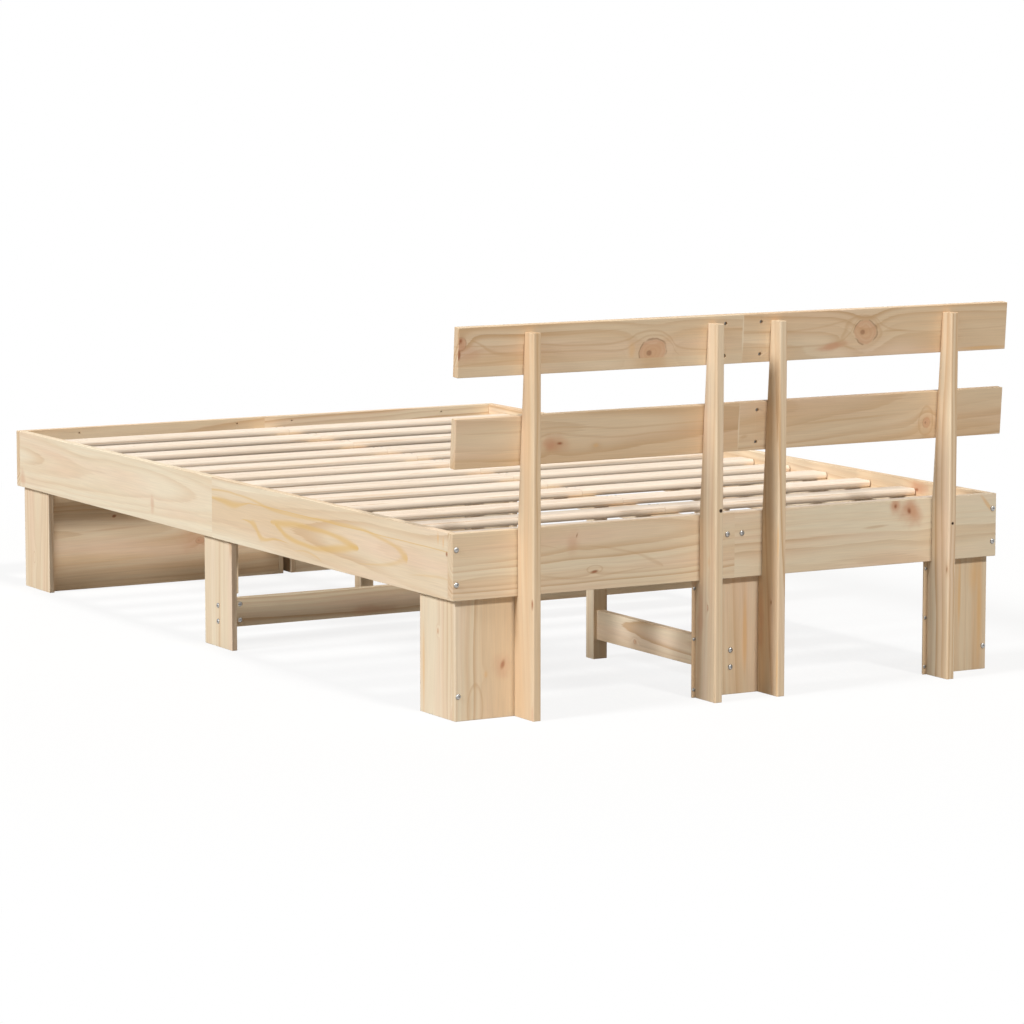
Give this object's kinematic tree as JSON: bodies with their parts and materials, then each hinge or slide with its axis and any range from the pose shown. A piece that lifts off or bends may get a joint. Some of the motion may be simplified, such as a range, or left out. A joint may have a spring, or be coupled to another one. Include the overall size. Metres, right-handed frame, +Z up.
{
  "type": "double bed",
  "caption": "Small double bed frame in plain pine: leaning boarded headboard on uprights, low rails, boarded legs and a slatted base that carries a mattress.",
  "frame": {"origin": "on the floor under the centre of the bed's bounding box", "axes": "+X to the right seen from behind the headboard, +Y from the head to the foot, +Z up"},
  "size_m": [1.235, 2.0954, 0.7363],
  "materials": {
    "pine": "planed and unfinished",
    "slat_pine": "planed, rounded edges",
    "zinc": "bright zinc plate"
  },
  "bodies": {
    "root": {"barrel_nuts": "zinc", "centre_beam_foot": "pine", "centre_beam_head": "pine", "centre_leg_back": "pine", "corner_block_foot_left": "pine", "corner_block_foot_right": "pine", "corner_block_head_left": "pine", "corner_block_head_right": "pine", "cross_stretcher_left": "pine", "cross_stretcher_right": "pine", "foot_centre_block": "pine", "foot_leg_left_inner": "pine", "foot_leg_left_outer": "pine", "foot_leg_left_panel": "pine", "foot_leg_right_inner": "pine", "foot_leg_right_outer": "pine", "foot_leg_right_panel": "pine", "foot_post": "pine", "foot_rail_left": "pine", "foot_rail_right": "pine", "frame_screws": "zinc", "head_centre_block": "pine", "head_leg_left_back": "pine", "head_leg_left_outer": "pine", "head_leg_right_back": "pine", "head_leg_right_outer": "pine", "head_post": "pine", "head_rail_left": "pine", "head_rail_right": "pine", "head_stretcher": "pine", "headboard_screws": "zinc", "inner_upright_left": "pine", "inner_upright_right": "pine", "joint_battens": "pine", "left_ledger_foot": "pine", "left_ledger_head": "pine", "left_rail_foot": "pine", "left_rail_head": "pine", "leg_bolts": "zinc", "lower_board_left": "pine", "lower_board_right": "pine", "middle_leg_left": "pine", "middle_leg_right": "pine", "middle_post": "pine", "outer_upright_left": "pine", "outer_upright_right": "pine", "rail_bolts": "zinc", "right_ledger_foot": "pine", "right_ledger_head": "pine", "right_rail_foot": "pine", "right_rail_head": "pine", "slat_screws": "zinc", "slats_left": "slat_pine", "slats_right": "slat_pine", "splice_blocks": "pine", "stretcher_bolts": "zinc", "upper_board_left": "pine", "upper_board_right": "pine"}
  },
  "joints": []
}
